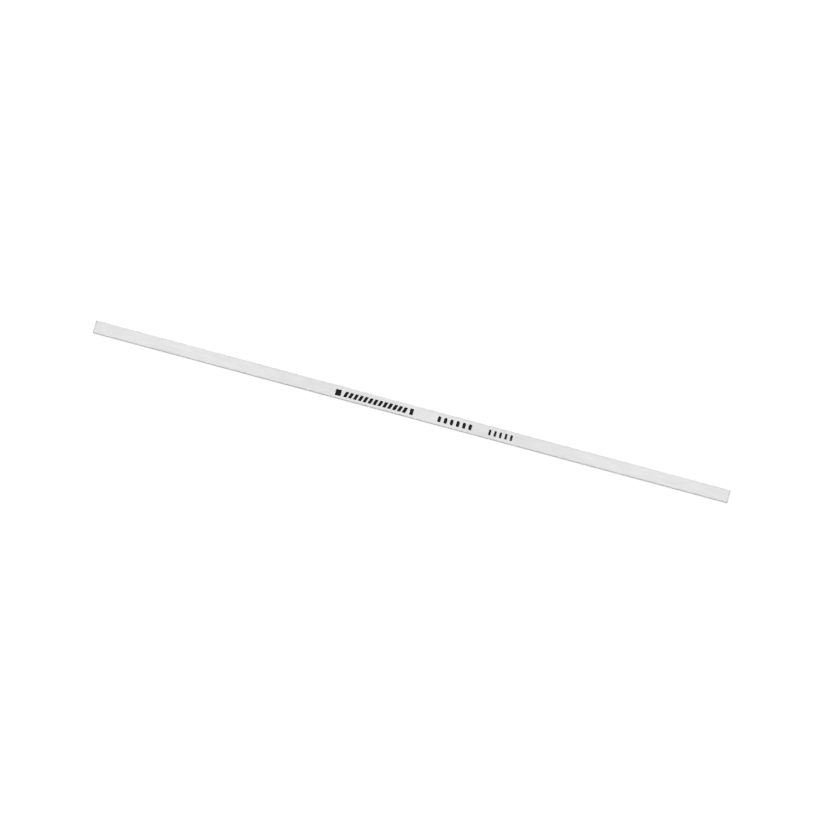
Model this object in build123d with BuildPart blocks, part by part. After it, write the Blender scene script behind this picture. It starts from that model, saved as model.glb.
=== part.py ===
from build123d import *
import os

# A polishing stick: a thin flat bar of lengthwise ceramic fibres bonded with resin, with three groups
# of printed marks on its upper broad face. It is one solid bar, and nothing on it moves.
# Millimetres. The bar lies along X with its print facing +Z, and the print runs towards +X. The origin
# is the centre of the lower broad face.

# The bar
STICK_LENGTH = 100.0
STICK_WIDTH = 2.0
STICK_THICKNESS = 0.5
EDGE_BREAK = 0.03  # the sawn edges are only just broken

# What the three printed groups share
INK_THICKNESS = 0.015
INK_CORNER = 0.04  # ink draws the corners of a mark in a little
PRINT_TILT = 0.21  # degrees that the printed line is off the bar's length, rising towards +X
PRINT_LINE_Y = -0.085  # where the printed line crosses Y, a little nearer the front edge than the middle

# Gauge band: leaning strokes between a long solid block and a short one
BAND_START_X = -11.48
BAND_LENGTH = 12.26
START_BLOCK_LENGTH = 0.9
END_BLOCK_LENGTH = 0.55
BLOCK_HEIGHT = 1.0
STROKE_COUNT = 13
STROKE_WIDTH = 0.5
STROKE_HEIGHT = 0.92
STROKE_LEAN = 0.27  # how far the top of a stroke leans towards +X

# Pill row: upright marks with round corners
PILLS_START_X = 4.63
PILLS_LENGTH = 5.32
PILL_COUNT = 6
PILL_WIDTH = 0.49
PILL_HEIGHT = 0.94
PILL_CORNER = 0.2

# Grade bars: upright marks with square corners
BARS_START_X = 12.60
BARS_LENGTH = 3.72
BAR_COUNT = 5
BAR_WIDTH = 0.36
BAR_HEIGHT = 0.9

strokes_start_x = BAND_START_X + START_BLOCK_LENGTH
strokes_end_x = BAND_START_X + BAND_LENGTH - END_BLOCK_LENGTH
strokes_centre_x = (strokes_start_x + strokes_end_x) / 2
stroke_pitch = (strokes_end_x - strokes_start_x) / (STROKE_COUNT + 1)
pills_centre_x = PILLS_START_X + PILLS_LENGTH / 2
pill_pitch = (PILLS_LENGTH - PILL_WIDTH) / (PILL_COUNT - 1)
bars_centre_x = BARS_START_X + BARS_LENGTH / 2
bar_pitch = (BARS_LENGTH - BAR_WIDTH) / (BAR_COUNT - 1)

print_plane = Plane.XY.offset(STICK_THICKNESS).rotated((0, 0, PRINT_TILT))


# The bar, sawn square at both ends
with BuildPart() as stick:
    with BuildSketch(Plane.XY):
        Rectangle(STICK_LENGTH, STICK_WIDTH)
    extrude(amount=STICK_THICKNESS)
    chamfer(stick.edges(), length=EDGE_BREAK)
stick.part.label = "abrasive_stick"


# Gauge band
with BuildPart() as gauge_band:
    with BuildSketch(print_plane) as band_print:
        with Locations((strokes_start_x, PRINT_LINE_Y)):
            Rectangle(START_BLOCK_LENGTH, BLOCK_HEIGHT, align=(Align.MAX, Align.CENTER))
        with Locations((strokes_end_x, PRINT_LINE_Y)):
            Rectangle(END_BLOCK_LENGTH, BLOCK_HEIGHT, align=(Align.MIN, Align.CENTER))
        with Locations((strokes_centre_x, PRINT_LINE_Y)):
            with GridLocations(stroke_pitch, 0, STROKE_COUNT, 1):
                Polygon(
                    (-STROKE_WIDTH / 2 - STROKE_LEAN / 2, -STROKE_HEIGHT / 2),
                    (STROKE_WIDTH / 2 - STROKE_LEAN / 2, -STROKE_HEIGHT / 2),
                    (STROKE_WIDTH / 2 + STROKE_LEAN / 2, STROKE_HEIGHT / 2),
                    (-STROKE_WIDTH / 2 + STROKE_LEAN / 2, STROKE_HEIGHT / 2),
                )
        fillet(band_print.vertices(), radius=INK_CORNER)
    extrude(amount=INK_THICKNESS)
gauge_band.part.label = "ink_gauge_band"


# Pill row
with BuildPart() as pill_row:
    with BuildSketch(print_plane):
        with Locations((pills_centre_x, PRINT_LINE_Y)):
            with GridLocations(pill_pitch, 0, PILL_COUNT, 1):
                RectangleRounded(PILL_WIDTH, PILL_HEIGHT, PILL_CORNER)
    extrude(amount=INK_THICKNESS)
pill_row.part.label = "ink_pill_row"


# Grade bars
with BuildPart() as grade_bars:
    with BuildSketch(print_plane):
        with Locations((bars_centre_x, PRINT_LINE_Y)):
            with GridLocations(bar_pitch, 0, BAR_COUNT, 1):
                RectangleRounded(BAR_WIDTH, BAR_HEIGHT, INK_CORNER)
    extrude(amount=INK_THICKNESS)
grade_bars.part.label = "ink_grade_bars"


os.makedirs("parts", exist_ok=True)
for piece in (stick, gauge_band, pill_row, grade_bars):
    export_step(piece.part, f"parts/{piece.part.label}.step")
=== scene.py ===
import math

import bmesh
import bpy
import numpy as np
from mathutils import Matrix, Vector


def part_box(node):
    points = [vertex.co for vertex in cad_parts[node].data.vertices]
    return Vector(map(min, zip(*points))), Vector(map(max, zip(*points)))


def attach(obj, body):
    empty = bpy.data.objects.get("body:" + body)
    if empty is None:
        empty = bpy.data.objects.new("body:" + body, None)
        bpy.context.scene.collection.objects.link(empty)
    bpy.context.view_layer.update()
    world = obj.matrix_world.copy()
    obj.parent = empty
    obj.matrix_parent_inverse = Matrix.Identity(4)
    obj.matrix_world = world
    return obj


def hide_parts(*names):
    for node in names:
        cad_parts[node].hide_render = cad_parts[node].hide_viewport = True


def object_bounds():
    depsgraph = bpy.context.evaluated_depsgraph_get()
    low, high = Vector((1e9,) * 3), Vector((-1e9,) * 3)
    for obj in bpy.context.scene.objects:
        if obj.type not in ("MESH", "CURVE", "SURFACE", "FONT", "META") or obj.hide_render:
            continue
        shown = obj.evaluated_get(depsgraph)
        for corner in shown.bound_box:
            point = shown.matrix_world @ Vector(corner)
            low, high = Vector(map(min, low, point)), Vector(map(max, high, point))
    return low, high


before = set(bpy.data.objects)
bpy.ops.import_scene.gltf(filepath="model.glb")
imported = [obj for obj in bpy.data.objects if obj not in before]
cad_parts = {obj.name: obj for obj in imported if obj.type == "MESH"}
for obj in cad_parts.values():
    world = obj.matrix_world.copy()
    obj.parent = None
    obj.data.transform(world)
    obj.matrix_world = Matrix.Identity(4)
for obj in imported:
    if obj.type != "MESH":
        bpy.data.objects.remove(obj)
cad_low, cad_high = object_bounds()

# A ceramic fibre polishing stick: one thin flat bar with three groups of printed marks. The bar is a new
# mesh with sawn faces, broken edges and cut fibre ends, and the marks are new films of ink laid over it.
# Everything is in metres in the CAD frame: X along the stick, +Y to its rear edge, +Z out of the print.
MM = 0.001

# What is random in the meshes follows from these
RELIEF_SEED = 5
BAR_SEED = 11
INK_SEED = 20

# The bar's box
bar_low, bar_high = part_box("abrasive_stick")
LENGTH = bar_high.x - bar_low.x
WIDTH = bar_high.y - bar_low.y
THICKNESS = bar_high.z - bar_low.z
PERIMETER = 2 * (WIDTH + THICKNESS)

# Spacing of the bar's mesh: fine at the edges and ends, coarse in between
FINE_STEP = 0.012 * MM
STEP_GROWTH = 1.5
LENGTH_STEP = 0.105 * MM
WIDTH_STEP = 0.068 * MM
THICKNESS_STEP = 0.05 * MM


def graded_places(low, high, fine, coarse):
    """Places from low to high, with fine steps at both ends that grow to coarse ones."""
    steps = [fine]
    while steps[-1] * STEP_GROWTH < coarse:
        steps.append(steps[-1] * STEP_GROWTH)
    rest = (high - low) - 2 * sum(steps)
    middle_count = max(1, round(rest / coarse))
    steps = steps + [rest / middle_count] * middle_count + steps[::-1]
    return low + np.concatenate([[0], np.cumsum(steps)])


def add_object(name, vertices, faces):
    """A new smooth-shaded mesh object in the scene."""
    mesh = bpy.data.meshes.new(name)
    mesh.from_pydata(vertices, [], faces)
    mesh.polygons.foreach_set("use_smooth", np.ones(len(mesh.polygons), bool))
    mesh.validate()
    made = bpy.data.objects.new(name, mesh)
    bpy.context.collection.objects.link(made)
    return made


# Noise over the bar's surface

def surface_noise(rng, cell_along, cell_around):
    """A smooth function from 0 to 1 of x and of the distance round the section. It joins up all round."""
    rows = int(LENGTH / cell_along) + 3
    columns = max(3, round(PERIMETER / cell_around))
    values = rng.random((rows, columns))

    def sample(x, around):
        row, row_part = np.divmod((x - bar_low.x) / cell_along, 1)
        column, column_part = np.divmod(around / PERIMETER * columns, 1)
        row = np.clip(row.astype(int), 0, rows - 2)
        column = column.astype(int) % columns
        after = (column + 1) % columns
        row_part = row_part * row_part * (3 - 2 * row_part)
        column_part = column_part * column_part * (3 - 2 * column_part)
        near = values[row, column] * (1 - row_part) + values[row + 1, column] * row_part
        far = values[row, after] * (1 - row_part) + values[row + 1, after] * row_part
        return near * (1 - column_part) + far * column_part

    return sample


def line_noise(rng, span, cell):
    """A function of the distance along a line. It runs smoothly between 0 and 1."""
    values = rng.random(int(span / cell) + 3)

    def sample(distance):
        index, part = np.divmod(np.maximum(distance, 0) / cell, 1)
        index = np.clip(index.astype(int), 0, len(values) - 2)
        part = part * part * (3 - 2 * part)
        return values[index] * (1 - part) + values[index + 1] * part

    return sample


# Relief of the bar's faces

# Depth, length and width of each layer of grooves that the fibres and the saw leave along the bar
GROOVE_LAYERS = (
    (3.0e-6, 14 * MM, 0.42 * MM),
    (3.5e-6, 5 * MM, 0.16 * MM),
    (3.0e-6, 1.6 * MM, 0.10 * MM),
)
SAW_DEPTH = 5.0e-6  # the narrow faces are sawn, so they are rougher than the broad ones
SAW_LINES = (9 * MM, 0.07 * MM)
# Shallow grooves where bundles of fibres have come out
PULLOUT_COUNT = 260
PULLOUT_HALF_LENGTH = (0.25 * MM, 1.9 * MM)
PULLOUT_HALF_WIDTH = (0.05 * MM, 0.09 * MM)
PULLOUT_DEPTH = 11e-6
SHALLOWEST_PULLOUT = 0.4  # as a share of PULLOUT_DEPTH
RELIEF_FADE = 0.035 * MM  # the relief dies out this near to an edge, which has its own break


class Relief:
    """How far the surface stands in from the bar's box, at any x and any distance round the section."""

    def __init__(self, seed):
        rng = np.random.default_rng(seed)
        self.layers = [(depth, surface_noise(rng, *cell)) for depth, *cell in GROOVE_LAYERS]
        self.saw = surface_noise(rng, *SAW_LINES)
        self.pullouts = [self.pullout(rng) for _ in range(PULLOUT_COUNT)]

    def pullout(self, rng):
        return {
            "x": rng.uniform(bar_low.x, bar_high.x),
            "around": rng.uniform(0, PERIMETER),
            "half_length": rng.uniform(*PULLOUT_HALF_LENGTH),
            "half_width": rng.uniform(*PULLOUT_HALF_WIDTH),
            "depth": rng.uniform(SHALLOWEST_PULLOUT, 1.0) * PULLOUT_DEPTH,
        }

    def depth(self, x, around, narrow):
        """Depth at each place, where narrow says whether it is on a narrow face."""
        total = sum(depth * noise(x, around) ** 2 for depth, noise in self.layers)
        total += np.where(narrow, SAW_DEPTH * self.saw(x, around), 0.0)
        for groove in self.pullouts:
            along = (x - groove["x"]) / groove["half_length"]
            across = (around - groove["around"]) / groove["half_width"]
            total += groove["depth"] * np.clip(1 - along**2 - across**2, 0, None)
        return total


# The bar

# Edge break, as the distance that the broken edge reaches along each face
EDGE_REACH = 0.017 * MM
EDGE_WANDER = 0.008 * MM
WANDER_CELLS = (0.9 * MM, 0.3 * MM)  # over how long a stretch it wanders
EDGE_SOFTNESS = 0.22  # rounds the corner between a face and its broken edge
EDGE_LEAN = (0.7, 1.3)  # above 1, the broken edge takes more of the narrow face than of the broad one
LEAN_CELL = 2.5 * MM
# Splinters have come off the long edges. Each leaves a scar that starts steeply and runs out along X
SPLINTERS_PER_EDGE = 46
SPLINTER_REACH = (0.005 * MM, 0.028 * MM)  # down the narrow face
SPLINTER_LENGTH = (0.35 * MM, 2.6 * MM)
SPLINTER_RARITY = 2.5  # above 1, most scars are small
SPLINTER_START = 0.12  # share of a scar's length taken by its steep start
SPLINTER_RUNOUT = 0.7  # below 1, a scar stays wide for longer before it runs out
SPLINTER_SPREAD = 0.45  # reach across the broad face, as a share of the reach down the narrow one
# The saw has torn single bundles out of the ends' edges
END_REACH = 0.020 * MM
TORN_BUNDLES = 14  # on an edge as long as the bar is wide
TORN_REACH = (0.008 * MM, 0.045 * MM)
TORN_WIDTH = (0.03 * MM, 0.10 * MM)
TORN_RARITY = 3
TORN_STEEPNESS = 1.6  # above 1, a gap has a flat bottom
TORN_DEPTH = 0.3  # how deep a torn bundle is, as a share of how far it reaches along the stick

# Cut ends: cut fibre bundles stand at different depths, and the saw leaves faint lines
BUNDLE_SIZE = 0.055 * MM
BUNDLE_DEPTH = 9e-6
KERF_PITCH = 0.11 * MM
KERF_DEPTH = 2.5e-6  # how far the saw lines swing about their mean depth
KERF_SLOPE = 0.2  # how far they drop in Z for each step in Y

# How far each end's front corner stands back because the cut isn't quite square, as a share of the width
SLANTS = {"start": 0.045, "far": 0.008}
SLANT_REACH = 2 * MM  # the slant is spread over this much of the bar


class BarGrid:
    """The bar's vertices on its exact box: rings round the section, then a grid over each end."""

    def __init__(self):
        self.xs = graded_places(bar_low.x, bar_high.x, FINE_STEP, LENGTH_STEP)
        self.ys = graded_places(bar_low.y, bar_high.y, FINE_STEP, WIDTH_STEP)
        self.zs = graded_places(bar_low.z, bar_high.z, FINE_STEP, THICKNESS_STEP)
        across, up = len(self.ys) - 1, len(self.zs) - 1
        # (y index, z index) round the section: lower face, rear face, upper face, front face
        self.ring = (
            [(j, 0) for j in range(across)]
            + [(across, k) for k in range(up)]
            + [(j, up) for j in range(across, 0, -1)]
            + [(0, k) for k in range(up, 0, -1)]
        )
        self.inner = [(j, k) for j in range(1, across) for k in range(1, up)]
        self.sides = self.side_points()
        self.ends = [self.end_points(x) for x in (bar_low.x, bar_high.x)]
        self.points = np.concatenate([self.sides, *self.ends])

    def side_points(self):
        section = np.array([(self.ys[j], self.zs[k]) for j, k in self.ring])
        x = np.repeat(self.xs, len(section))
        return np.column_stack([x, np.tile(section, (len(self.xs), 1))])

    def end_points(self, x):
        return np.array([(x, self.ys[j], self.zs[k]) for j, k in self.inner])

    def faces(self):
        around = len(self.ring)
        stations = len(self.xs)
        start = np.arange(stations - 1)[:, None] * around
        here = np.arange(around)[None, :]
        after = (here + 1) % around
        quads = np.stack(
            [start + here, start + after, start + around + after, start + around + here], axis=-1
        ).reshape(-1, 4)
        faces = quads.tolist()
        first_inner = stations * around
        for end, first_ring in enumerate((0, (stations - 1) * around)):
            number = {place: first_ring + i for i, place in enumerate(self.ring)}
            offset = first_inner + end * len(self.inner)
            number.update({place: offset + i for i, place in enumerate(self.inner)})
            for j in range(len(self.ys) - 1):
                for k in range(len(self.zs) - 1):
                    quad = [number[p] for p in ((j, k), (j + 1, k), (j + 1, k + 1), (j, k + 1))]
                    faces.append(quad if end == 1 else quad[::-1])
        return faces


def distance_around(y, z):
    """Distance round the section from the lower front edge: lower, rear, upper, then front face."""
    lower = z - bar_low.z < FINE_STEP / 2
    rear = bar_high.y - y < FINE_STEP / 2
    upper = bar_high.z - z < FINE_STEP / 2
    return np.select(
        [lower, rear, upper],
        [y - bar_low.y, WIDTH + z - bar_low.z, WIDTH + THICKNESS + bar_high.y - y],
        PERIMETER - (z - bar_low.z),
    )


def wandering_reach(rng, places, span, reach):
    """How far an edge is broken at each place along it, where nothing has come off it."""
    wander = sum(line_noise(rng, span, cell)(places) for cell in WANDER_CELLS)
    return reach + EDGE_WANDER * wander / len(WANDER_CELLS)


def splinter_scars(rng, places, span):
    """What splinters add to the reach of a long edge's break, down the narrow face."""
    total = np.zeros(len(places))
    for _ in range(SPLINTERS_PER_EDGE):
        length = rng.uniform(*SPLINTER_LENGTH) * rng.choice((-1, 1))
        size = np.interp(rng.random() ** SPLINTER_RARITY, (0, 1), SPLINTER_REACH)
        part = (places - rng.uniform(0, span)) / length
        rise = np.clip(part / SPLINTER_START, 0, 1)
        fall = np.clip((1 - part) / (1 - SPLINTER_START), 0, 1)
        total = np.maximum(total, size * np.minimum(rise, fall**SPLINTER_RUNOUT))
    return total


def torn_bundles(rng, places, span):
    """What torn bundles add to the reach of an end's edge, along the stick."""
    total = np.zeros(len(places))
    for _ in range(round(TORN_BUNDLES * span / WIDTH)):
        half = rng.uniform(*TORN_WIDTH) / 2
        size = np.interp(rng.random() ** TORN_RARITY, (0, 1), TORN_REACH)
        off = np.abs(places - rng.uniform(0, span)) / half
        total = np.maximum(total, size * np.clip(TORN_STEEPNESS * (1 - off), 0, 1))
    return total


def break_edge(points, face_a, face_b, reach_a, reach_b):
    """Draws in what stands outside the slanted plane that breaks the edge between two faces.

    A face is a pair: how far in from it each point is, and which way in is. reach_a is how far in from
    face a the plane cuts face b, and reach_b is the other way round.
    """
    (depth_a, inward_a), (depth_b, inward_b) = face_a, face_b
    outside = 1 - depth_a / reach_a - depth_b / reach_b
    outside = (outside + np.sqrt(outside**2 + EDGE_SOFTNESS**2)) / 2
    share = outside / (1 / reach_a**2 + 1 / reach_b**2)
    points += (share / reach_a)[:, None] * inward_a + (share / reach_b)[:, None] * inward_b


def box_faces(points):
    """The bar's six faces as pairs for break_edge, at the points' present places."""
    x, y, z = points.T.copy()
    return {
        "start": (x - bar_low.x, np.array((1.0, 0, 0))),
        "far": (bar_high.x - x, np.array((-1.0, 0, 0))),
        "front": (y - bar_low.y, np.array((0, 1.0, 0))),
        "rear": (bar_high.y - y, np.array((0, -1.0, 0))),
        "lower": (z - bar_low.z, np.array((0, 0, 1.0))),
        "upper": (bar_high.z - z, np.array((0, 0, -1.0))),
    }


def break_all_edges(rng, points):
    """Breaks the four long edges, then each end's four. Each break starts from what the last one left."""
    x, y, z = points.T.copy()
    for broad in ("lower", "upper"):
        for narrow in ("front", "rear"):
            along = x - bar_low.x
            reach = wandering_reach(rng, along, LENGTH, EDGE_REACH)
            scars = splinter_scars(rng, along, LENGTH)
            lean = np.interp(line_noise(rng, LENGTH, LEAN_CELL)(along), (0, 1), EDGE_LEAN)
            down, across = reach * lean + scars, reach / lean + SPLINTER_SPREAD * scars
            faces = box_faces(points)
            break_edge(points, faces[broad], faces[narrow], down, across)
    for end in ("start", "far"):
        for sides, along, span in (
            (("lower", "upper"), y - bar_low.y, WIDTH),
            (("front", "rear"), z - bar_low.z, THICKNESS),
        ):
            for side in sides:
                reach = wandering_reach(rng, along, span, END_REACH)
                torn = torn_bundles(rng, along, span)
                faces = box_faces(points)
                break_edge(points, faces[end], faces[side], reach + torn, reach + TORN_DEPTH * torn)


def relief_fade(flat):
    """Share of the relief left at each point of the box: none at its edges, all of it away from them."""
    spans = [np.minimum(flat[:, i] - bar_low[i], bar_high[i] - flat[:, i]) for i in range(3)]
    from_edge = np.sort(spans, axis=0)[1]
    return np.clip(from_edge / RELIEF_FADE, 0, 1)


def press_sides(relief, points, flat):
    """Sinks the four long faces by their relief."""
    around = distance_around(flat[:, 1], flat[:, 2])
    on_front = flat[:, 1] - bar_low.y < FINE_STEP / 2
    on_rear = bar_high.y - flat[:, 1] < FINE_STEP / 2
    on_lower = flat[:, 2] - bar_low.z < FINE_STEP / 2
    on_upper = bar_high.z - flat[:, 2] < FINE_STEP / 2
    inward = np.column_stack(
        [np.zeros(len(flat)), on_front * 1.0 - on_rear * 1.0, on_lower * 1.0 - on_upper * 1.0]
    )
    depth = relief.depth(flat[:, 0], around, on_front | on_rear) * relief_fade(flat)
    points += depth[:, None] * inward


def press_ends(rng, points, flat):
    """Sinks the two cut ends: bundles of cut fibres and faint saw lines."""
    for plane, inward in ((bar_low.x, 1), (bar_high.x, -1)):
        on_end = np.abs(flat[:, 0] - plane) < FINE_STEP / 2
        y = flat[on_end, 1] - bar_low.y
        z = flat[on_end, 2] - bar_low.z
        columns, rows = int(WIDTH / BUNDLE_SIZE) + 2, int(THICKNESS / BUNDLE_SIZE) + 2
        bundles = rng.random((columns, rows))
        depth = BUNDLE_DEPTH * bundles[(y / BUNDLE_SIZE).astype(int), (z / BUNDLE_SIZE).astype(int)]
        depth += KERF_DEPTH * (1 + np.sin(2 * math.pi * (z + KERF_SLOPE * y) / KERF_PITCH))
        points[on_end, 0] += inward * depth * relief_fade(flat[on_end])


def slant_ends(points, flat):
    """Leans the two ends back towards their front corners."""
    from_rear = bar_high.y - flat[:, 1]
    from_start = flat[:, 0] - bar_low.x
    from_far = bar_high.x - flat[:, 0]
    points[:, 0] += SLANTS["start"] * from_rear * np.clip(1 - from_start / SLANT_REACH, 0, 1)
    points[:, 0] -= SLANTS["far"] * from_rear * np.clip(1 - from_far / SLANT_REACH, 0, 1)


def build_bar(relief):
    """The bar's mesh, where the wear attribute says how far an edge break has drawn each point in."""
    rng = np.random.default_rng(BAR_SEED)
    grid = BarGrid()
    points = grid.points.copy()
    break_all_edges(rng, points)
    wear = np.linalg.norm(points - grid.points, axis=1)
    press_sides(relief, points[: len(grid.sides)], grid.sides)
    press_ends(rng, points, grid.points)
    slant_ends(points, grid.points)
    bar = add_object("polishing_bar", points.tolist(), grid.faces())
    attribute = bar.data.attributes.new("wear", "FLOAT", "POINT")
    attribute.data.foreach_set("value", wear.astype(np.float32))
    return bar


# The ink

INK_FINE_STEP = 0.009 * MM
INK_STEP = 0.034 * MM
WICK = 0.013 * MM  # how far ink runs along the fibres past its outline, or stops short of it
WICK_WIDTH = 0.035 * MM
INK_SINK = 7e-6  # how far the film's underside lies below the bar's surface
INK_HEIGHT = (7e-6, 11e-6)
INK_GRAIN = 2.5e-6  # the film shows the fibres under it
INK_RIM = 0.03 * MM  # the film thins out this near to its outline
RIM_HEIGHT = 0.15  # share of the film's height left at the outline
INK_INSET = 0.00045 * MM  # keeps the first and last rows off a mark's topmost and bottommost edges
SAME_HEIGHT = 1e-7
SAME_PLACE = 1e-8


def mark_outlines(node):
    """The outline of each separate mark in a CAD ink node, as points in order round it."""
    work = bmesh.new()
    work.from_mesh(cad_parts[node].data)
    bmesh.ops.remove_doubles(work, verts=work.verts, dist=SAME_PLACE)
    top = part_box(node)[1].z
    left, outlines = set(work.verts), []
    while left:
        island, edge = set(), [left.pop()]
        while edge:
            vert = edge.pop()
            island.add(vert)
            near = {e.other_vert(vert) for e in vert.link_edges} - island
            edge.extend(near & left)
            left -= near
        corners = np.array([v.co[:2] for v in island if top - v.co.z < SAME_HEIGHT])
        middle = (corners.max(0) + corners.min(0)) / 2
        turn = np.arctan2(*(corners - middle).T[::-1])
        outlines.append(corners[np.argsort(turn)])
    work.free()
    return sorted(outlines, key=lambda o: o[:, 0].min())


def mark_sides(outline, rows):
    """The x of a convex outline's left and right sides at each row's y."""
    lowest = outline[:, 1].argmin()
    round_once = np.roll(outline, -lowest, axis=0)
    highest = round_once[:, 1].argmax()
    right = round_once[: highest + 1]
    left = np.vstack([round_once[highest:], round_once[:1]])[::-1]
    return np.interp(rows, left[:, 1], left[:, 0]), np.interp(rows, right[:, 1], right[:, 0])


def ink_grid(rng, outline):
    """Places over a mark, in rows along the fibres. At both sides the ink runs a little along them."""
    bottom, top = outline[:, 1].min() + INK_INSET, outline[:, 1].max() - INK_INSET
    rows = graded_places(bottom, top, INK_FINE_STEP, INK_STEP)
    left, right = mark_sides(outline, rows)
    span = rows[-1] - rows[0]
    left = left + WICK * (2 * line_noise(rng, span, WICK_WIDTH)(rows - rows[0]) - 1)
    right = right + WICK * (2 * line_noise(rng, span, WICK_WIDTH)(rows - rows[0]) - 1)
    right = np.maximum(right, left + INK_FINE_STEP)
    width = (right - left).max()
    shares = graded_places(0, width, INK_FINE_STEP, INK_STEP) / width
    x = left[:, None] + (right - left)[:, None] * shares[None, :]
    y = np.repeat(rows[:, None], len(shares), axis=1)
    return x, y


def ink_mark(rng, relief, outline):
    """Vertices and faces of one mark: a closed film that follows the bar's relief."""
    x, y = ink_grid(rng, outline)
    around = WIDTH + THICKNESS + bar_high.y - y
    surface = bar_high.z - relief.depth(x, around, np.zeros(x.shape, bool))
    rim = np.minimum.reduce([x - x[:, :1], x[:, -1:] - x, y - y[:1], y[-1:] - y]) / INK_RIM
    share = RIM_HEIGHT + (1 - RIM_HEIGHT) * np.sqrt(np.clip(rim, 0, 1))
    grain = relief.layers[-1][1](x, around)
    top = surface + share * (rng.uniform(*INK_HEIGHT) + INK_GRAIN * grain)
    top = np.minimum(top, cad_high.z)
    flat = np.column_stack([x.ravel(), y.ravel()])
    vertices = np.vstack(
        [np.column_stack([flat, top.ravel()]), np.column_stack([flat, surface.ravel() - INK_SINK])]
    )
    rows, columns = x.shape
    number = np.arange(rows * columns).reshape(rows, columns)
    quads = np.stack([number[:-1, :-1], number[:-1, 1:], number[1:, 1:], number[1:, :-1]], axis=-1)
    quads = quads.reshape(-1, 4)
    border = np.concatenate([number[0, :-1], number[:-1, -1], number[-1, :0:-1], number[:0:-1, 0]])
    after = np.roll(border, -1)
    below = rows * columns
    skirt = np.column_stack([border, border + below, after + below, after])
    return vertices, np.vstack([quads, quads[:, ::-1] + below, skirt])


def build_ink(name, node, relief, seed):
    """One new mesh for all the marks of a CAD ink node."""
    rng = np.random.default_rng(seed)
    vertices, faces, count = [], [], 0
    for outline in mark_outlines(node):
        more_vertices, more_faces = ink_mark(rng, relief, outline)
        vertices.append(more_vertices)
        faces.append(more_faces + count)
        count += len(more_vertices)
    return add_object(name, np.vstack(vertices).tolist(), np.vstack(faces).tolist())


# Materials

class Shader:
    """A material's nodes. Sockets and plain numbers both serve as inputs."""

    def __init__(self, name):
        self.material = bpy.data.materials.new(name)
        self.material.use_nodes = True
        self.tree = self.material.node_tree
        self.tree.nodes.clear()
        self.output = self.tree.nodes.new("ShaderNodeOutputMaterial")
        self.coordinates = self.tree.nodes.new("ShaderNodeTexCoord")
        self.place = self.coordinates.outputs["Object"]
        self.normal = self.coordinates.outputs["Normal"]

    def node(self, kind, inputs, **settings):
        made = self.tree.nodes.new(kind)
        for name, value in settings.items():
            setattr(made, name, value)
        for key, value in inputs.items():
            if isinstance(value, bpy.types.NodeSocket):
                self.tree.links.new(value, made.inputs[key])
            else:
                made.inputs[key].default_value = value
        return made

    def maths(self, operation, a, b=0.0):
        return self.node("ShaderNodeMath", {0: a, 1: b}, operation=operation).outputs[0]

    def product(self, factors):
        total = factors[0]
        for factor in factors[1:]:
            total = self.maths("MULTIPLY", total, factor)
        return total

    def remap(self, value, from_low, from_high, to_low, to_high):
        """The value's place between from_low and from_high, carried over to the other two and clamped."""
        inputs = {
            "Value": value,
            "From Min": from_low,
            "From Max": from_high,
            "To Min": to_low,
            "To Max": to_high,
        }
        return self.node("ShaderNodeMapRange", inputs).outputs["Result"]

    def stretched(self, size_along, size_across, shift=0.0):
        """Coordinates for a texture whose grain is size_along long and size_across wide."""
        scale = (1 / size_along, 1 / size_across, 1 / size_across)
        inputs = {"Vector": self.place, "Scale": scale, "Location": (shift,) * 3}
        return self.node("ShaderNodeMapping", inputs).outputs[0]

    def noise(self, size_along, size_across, detail=3.0, roughness=0.55, shift=0.0):
        """Noise whose grain is size_along long and size_across wide. A shift keeps two from matching."""
        vector = self.stretched(size_along, size_across, shift)
        inputs = {"Vector": vector, "Scale": 1.0, "Detail": detail, "Roughness": roughness}
        return self.node("ShaderNodeTexNoise", inputs).outputs["Fac"]

    def mix(self, factor, a, b):
        made = self.node("ShaderNodeMix", {0: factor}, data_type="RGBA")
        for key, value in ((6, a), (7, b)):
            if isinstance(value, bpy.types.NodeSocket):
                self.tree.links.new(value, made.inputs[key])
            else:
                made.inputs[key].default_value = (*value, 1.0)
        return made.outputs[2]

    def scale_colour(self, colour, factor):
        grey = self.node("ShaderNodeCombineColor", {0: factor, 1: factor, 2: factor}).outputs[0]
        made = self.node(
            "ShaderNodeMix", {0: 1.0, 6: colour, 7: grey}, data_type="RGBA", blend_type="MULTIPLY"
        )
        return made.outputs[2]

    def finish(self, inputs):
        principled = self.node("ShaderNodeBsdfPrincipled", inputs)
        self.tree.links.new(principled.outputs[0], self.output.inputs["Surface"])
        return self.material


# Nearly all of a noise's values lie between these
NOISE = (0.3, 0.7)

# The bar's colours
FIBRE_LIGHT = (0.84, 0.84, 0.84)
FIBRE_MEAN = (0.775, 0.775, 0.775)
FIBRE_DARK = (0.70, 0.70, 0.70)
FLECK = (0.56, 0.56, 0.56)
# The grain of the bar's textures, as length along the stick and width across it
FIBRES = (1.8 * MM, 0.024 * MM)
BUNDLES = (8 * MM, 0.13 * MM)
CLOUDS = (2.4 * MM, 1.0 * MM)
FLECKS = (0.30 * MM, 0.024 * MM)
# How much each of them weighs in the tone, and the sums that give the darkest and the lightest colour
FIBRE_WEIGHT = 0.55
BUNDLE_WEIGHT = 0.35
CLOUD_WEIGHT = 0.40
TONE = (0.45, 0.85)
FLECK_ONSET = (0.68, 0.78)  # only the peaks of the flecks' noise show
FLECK_STRENGTH = 0.5
FLECK_PIT = 0.8  # depth of a fleck, as a share of the fibres' height
FIBRE_HEIGHT = 4e-6
FIBRE_ROUGHNESS = (0.58, 0.76)

# How much of a normal lies along an axis where a surface starts to count as facing that way, and where
# it counts in full
FACING = (0.35, 0.85)
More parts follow.
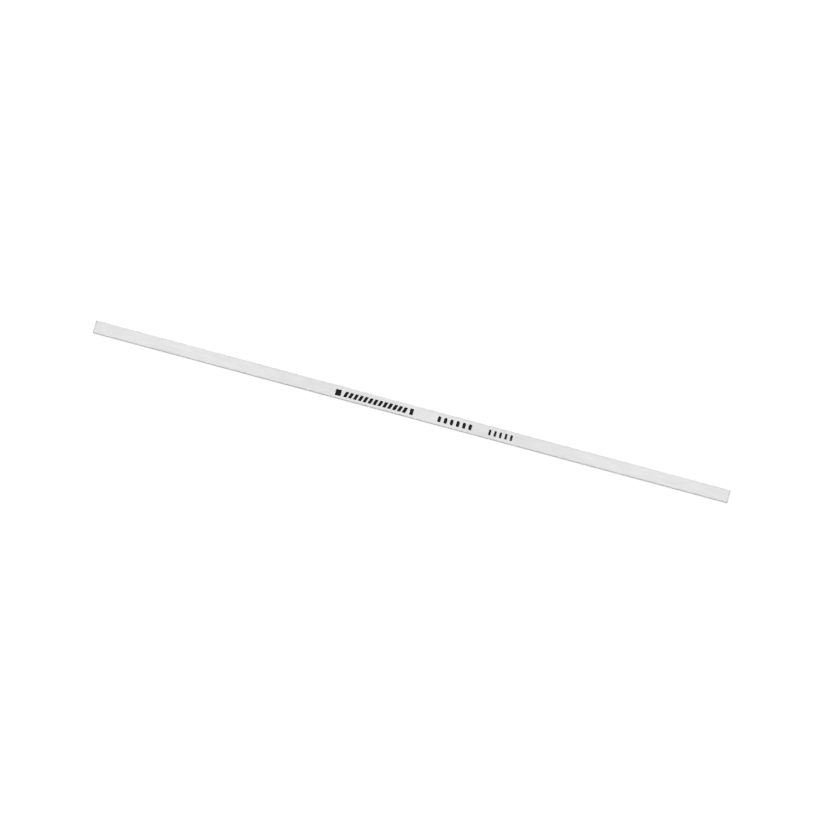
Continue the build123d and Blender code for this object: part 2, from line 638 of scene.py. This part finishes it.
# What kinds of face and the broken edges do to the colour
SAWN_AND_PAINTED_SHADE = 0.84  # the narrow faces are darker: partly their rougher sawn finish, partly painted shade that darkens the front face's line
BROKEN_EDGE_SHADE = 0.80
BREAK_DEPTHS = (0.002 * MM, 0.03 * MM)  # how far in a point is drawn where its broken edge starts to darken, and where the darkening is full
CUT_DARK = (0.28, 0.44)  # what a cut end loses at the middle of a fibre and in the resin between fibres
FIBRE_END_SIZE = 0.03 * MM
FIBRE_END_LENGTH = 10 * MM
FIBRE_END_RADII = (0.25, 0.65)  # where a fibre ends and where the resin is darkest, in fibre widths
DRIFT = (0.97, 1.025)  # the tone drifts slowly along the stick
DRIFT_SIZE = (26 * MM, 30 * MM)
DRIFT_SHIFT = 23.0

# Darkening along the broad faces' rims: how far in it starts, how far in it is full, how dark and how
# patchy
LONG_RIM = (0.20 * MM, 0.09 * MM, 0.11, 0.9)
END_RIM = (0.24 * MM, 0.13 * MM, 0.26, 0.4)
RIM_DARK_PATCHES = (0.8 * MM, 0.25 * MM)
RIM_RAGGED = 0.06 * MM  # how far the darkening runs in or out along single fibres
RAGGED_FIBRES = (1.2 * MM, 0.035 * MM)


def rim_shade(shader, facing_up, coordinate, half_span, rim):
    """Darkens the broad faces patchily towards their rims at plus and minus half_span."""
    start, full, dark, patchy = rim
    fibres = shader.noise(*RAGGED_FIBRES, detail=2.0, shift=31.0)
    ragged = shader.remap(fibres, *NOISE, -RIM_RAGGED, RIM_RAGGED)
    distance = shader.maths("ADD", shader.maths("ABSOLUTE", coordinate), ragged)
    # The broad faces are darker in the colour towards their rims
    rim_darkening = shader.remap(distance, half_span - start, half_span - full, 0.0, dark)
    spread = shader.noise(*RIM_DARK_PATCHES, detail=2.0, shift=21.0)
    patches = shader.remap(spread, *NOISE, 1 - patchy, 1 + patchy)
    return shader.maths("SUBTRACT", 1.0, shader.product((rim_darkening, patches, facing_up)))


def cut_end_shade(shader, facing_end):
    """Cut ends are darker, and show the ends of single fibres with dark resin between them."""
    vector = shader.stretched(FIBRE_END_LENGTH, FIBRE_END_SIZE)
    cells = shader.node("ShaderNodeTexVoronoi", {"Vector": vector, "Scale": 1.0})
    dark = shader.remap(cells.outputs["Distance"], *FIBRE_END_RADII, *CUT_DARK)
    return shader.maths("SUBTRACT", 1.0, shader.maths("MULTIPLY", facing_end, dark))


def fibre_shade(shader):
    """What the kinds of face (partly painted shade on the narrow faces), the broken edges and the
    darkened rims do to the colour, as a factor.
    """
    facing = shader.node("ShaderNodeSeparateXYZ", {0: shader.normal}).outputs
    place = shader.node("ShaderNodeSeparateXYZ", {0: shader.place}).outputs
    wear = shader.node("ShaderNodeAttribute", {}, attribute_name="wear").outputs["Fac"]
    drift = shader.noise(*DRIFT_SIZE, detail=0.0, shift=DRIFT_SHIFT)
    facing_end = shader.remap(shader.maths("ABSOLUTE", facing["X"]), *FACING, 0.0, 1.0)
    facing_up = shader.remap(shader.maths("ABSOLUTE", facing["Z"]), *FACING, 0.0, 1.0)
    return shader.product(
        (
            # The narrow faces are darkened in the colour: partly their sawn finish, partly painted shade
            shader.remap(shader.maths("ABSOLUTE", facing["Y"]), *FACING, 1.0, SAWN_AND_PAINTED_SHADE),
            cut_end_shade(shader, facing_end),
            # Broken edges are darker in the colour, the more so the further in they are drawn
            shader.remap(wear, *BREAK_DEPTHS, 1.0, BROKEN_EDGE_SHADE),
            rim_shade(shader, facing_up, place["Y"], WIDTH / 2, LONG_RIM),
            rim_shade(shader, facing_up, place["X"], LENGTH / 2, END_RIM),
            shader.remap(drift, *NOISE, *DRIFT),
        )
    )


def fibre_composite():
    """Off-white ceramic fibre: fine streaks along X, faint clouds, darker narrow faces (partly sawn
    finish, partly painted shade) and darker broken edges.
    """
    shader = Shader("fibre_composite")
    clouds = shader.noise(*CLOUDS, detail=3.0, roughness=0.6)
    bundles = shader.noise(*BUNDLES, detail=2.0, shift=3.1)
    fibres = shader.noise(*FIBRES, detail=4.0, roughness=0.7, shift=7.7)
    flecks = shader.noise(*FLECKS, detail=1.0, shift=15.0)

    tone = shader.maths("MULTIPLY", fibres, FIBRE_WEIGHT)
    tone = shader.maths("ADD", tone, shader.maths("MULTIPLY", bundles, BUNDLE_WEIGHT))
    tone = shader.maths("ADD", tone, shader.maths("MULTIPLY", clouds, CLOUD_WEIGHT))
    tone = shader.remap(tone, *TONE, 0.0, 1.0)
    darker = shader.mix(shader.remap(tone, 0.0, 0.5, 0.0, 1.0), FIBRE_DARK, FIBRE_MEAN)
    colour = shader.mix(shader.remap(tone, 0.5, 1.0, 0.0, 1.0), darker, FIBRE_LIGHT)
    colour = shader.mix(shader.remap(flecks, *FLECK_ONSET, 0.0, FLECK_STRENGTH), colour, FLECK)
    colour = shader.scale_colour(colour, fibre_shade(shader))

    height = shader.maths("ADD", fibres, shader.maths("MULTIPLY", flecks, -FLECK_PIT))
    bump_inputs = {"Height": height, "Strength": 0.8, "Distance": FIBRE_HEIGHT}
    bump = shader.node("ShaderNodeBump", bump_inputs)
    return shader.finish(
        {
            "Base Color": colour,
            "Roughness": shader.remap(fibres, *NOISE, *FIBRE_ROUGHNESS),
            "Normal": bump.outputs[0],
            "Specular IOR Level": 0.35,
        }
    )


INK_BLACK = (0.002, 0.002, 0.0022)
INK_THIN = (0.014, 0.014, 0.014)
INK_BARE = (0.12, 0.12, 0.118)
# The grain of the ink's textures, as length along the stick and width across it
INK_FIBRES = (1.3 * MM, 0.03 * MM)
INK_BLOTS = (0.5 * MM, 0.25 * MM)
INK_SPECKS = (0.22 * MM, 0.025 * MM)
BLOT_RANGE = (0.3, 0.75)
BLOT_STRENGTH = (0.4, 1.2)  # the blots decide how much of the fibres' thinning shows
THIN_ONSET = (0.35, 0.75)
SPECK_ONSET = (0.72, 0.80)  # only the peaks of the specks' noise show
SPECK_STRENGTH = 0.6
INK_FIBRE_HEIGHT = 2.5e-6
INK_ROUGHNESS = (0.50, 0.72)


def black_ink():
    """Matt black ink, a little thinner and greyer along the proud fibres."""
    shader = Shader("black_ink")
    fibres = shader.noise(*INK_FIBRES, detail=4.0, roughness=0.65)
    blots = shader.noise(*INK_BLOTS, detail=2.0, shift=4.0)
    specks = shader.noise(*INK_SPECKS, detail=1.0, shift=9.0)
    thin = shader.maths("MULTIPLY", fibres, shader.remap(blots, *BLOT_RANGE, *BLOT_STRENGTH))
    colour = shader.mix(shader.remap(thin, *THIN_ONSET, 0.0, 1.0), INK_BLACK, INK_THIN)
    colour = shader.mix(shader.remap(specks, *SPECK_ONSET, 0.0, SPECK_STRENGTH), colour, INK_BARE)
    bump_inputs = {"Height": fibres, "Strength": 0.6, "Distance": INK_FIBRE_HEIGHT}
    bump = shader.node("ShaderNodeBump", bump_inputs)
    return shader.finish(
        {
            "Base Color": colour,
            "Roughness": shader.remap(fibres, *NOISE, *INK_ROUGHNESS),
            "Normal": bump.outputs[0],
            "Specular IOR Level": 0.12,
        }
    )


# Pieces

def dress(piece, material, node):
    """Gives a new piece its material, hangs it under the root body and hides the CAD node it stands in
    for.
    """
    piece.data.materials.append(material)
    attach(piece, "root")
    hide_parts(node)


relief = Relief(RELIEF_SEED)
dress(build_bar(relief), fibre_composite(), "abrasive_stick")
ink = black_ink()
for number, (name, node) in enumerate(
    (
        ("gauge_band_ink", "ink_gauge_band"),
        ("pill_row_ink", "ink_pill_row"),
        ("grade_bars_ink", "ink_grade_bars"),
    )
):
    dress(build_ink(name, node, relief, INK_SEED + number), ink, node)


# Floor: a pale lit table, as large as any view needs

FLOOR_SIZE = 60.0
FLOOR_GAP = 2e-6  # keeps the floor clear of the bar's lower face
FLOOR_COLOUR = (0.05, 0.05, 0.05, 1.0)
FLOOR_GLOW = 0.965


def build_floor():
    half = FLOOR_SIZE / 2
    z = cad_low.z - FLOOR_GAP
    corners = [(-half, -half, z), (half, -half, z), (half, half, z), (-half, half, z)]
    floor = add_object("floor", corners, [(0, 1, 2, 3)])
    shader = Shader("pale_table")
    floor.data.materials.append(
        shader.finish(
            {
                "Base Color": FLOOR_COLOUR,
                "Roughness": 0.9,
                "Specular IOR Level": 0.0,
                "Emission Color": (1.0, 1.0, 1.0, 1.0),
                "Emission Strength": FLOOR_GLOW,
            }
        )
    )


# Light: a broad soft key from above and behind, and a white surround that dims towards the top

KEY_STRENGTH = 2.7
KEY_DIRECTION = Vector((-0.25, 0.55, 1.0))  # from the object to the light
KEY_SOFTNESS = math.radians(40)
SURROUND_LOW = 1.05
SURROUND_HIGH = 0.23
SURROUND_FADE = (7, 14)  # degrees above the horizon between which it dims


def build_key():
    lamp = bpy.data.lights.new("key", "SUN")
    lamp.energy = KEY_STRENGTH
    lamp.angle = KEY_SOFTNESS
    key = bpy.data.objects.new("key", lamp)
    key.rotation_euler = KEY_DIRECTION.to_track_quat("Z", "Y").to_euler()
    bpy.context.collection.objects.link(key)


def build_surround():
    world = bpy.data.worlds.new("surround")
    world.use_nodes = True
    nodes, links = world.node_tree.nodes, world.node_tree.links
    nodes.clear()
    direction = nodes.new("ShaderNodeTexCoord")
    split = nodes.new("ShaderNodeSeparateXYZ")
    fade = nodes.new("ShaderNodeMapRange")
    fade.interpolation_type = "SMOOTHSTEP"
    fade.inputs["From Min"].default_value = math.sin(math.radians(SURROUND_FADE[0]))
    fade.inputs["From Max"].default_value = math.sin(math.radians(SURROUND_FADE[1]))
    fade.inputs["To Min"].default_value = SURROUND_LOW
    fade.inputs["To Max"].default_value = SURROUND_HIGH
    background = nodes.new("ShaderNodeBackground")
    background.inputs["Color"].default_value = (1.0, 1.0, 1.0, 1.0)
    output = nodes.new("ShaderNodeOutputWorld")
    links.new(direction.outputs["Generated"], split.inputs[0])
    links.new(split.outputs["Z"], fade.inputs["Value"])
    links.new(fade.outputs["Result"], background.inputs["Strength"])
    links.new(background.outputs[0], output.inputs["Surface"])
    bpy.context.scene.world = world


# Camera: a long lens held level, looking down at the printed face, with the stick lying aslant

LENS = 120.0
SENSOR = 36.0
AZIMUTH = math.radians(15.75)
ELEVATION = math.radians(71.98)
DISTANCE = 416.1 * MM
AIM = Vector((0.457 * MM, 0.045 * MM, 0.25 * MM))


def build_camera():
    data = bpy.data.cameras.new("camera")
    data.lens = LENS
    data.sensor_width = SENSOR
    data.clip_start = 0.01
    data.clip_end = 100.0
    camera = bpy.data.objects.new("camera", data)
    back = Vector(
        (
            math.sin(AZIMUTH) * math.cos(ELEVATION),
            -math.cos(AZIMUTH) * math.cos(ELEVATION),
            math.sin(ELEVATION),
        )
    )
    camera.location = AIM + DISTANCE * back
    camera.rotation_mode = "QUATERNION"
    camera.rotation_quaternion = back.to_track_quat("Z", "Y")
    bpy.context.collection.objects.link(camera)
    bpy.context.scene.camera = camera


build_floor()
build_key()
build_surround()
build_camera()
bpy.context.scene.view_settings.view_transform = "Standard"
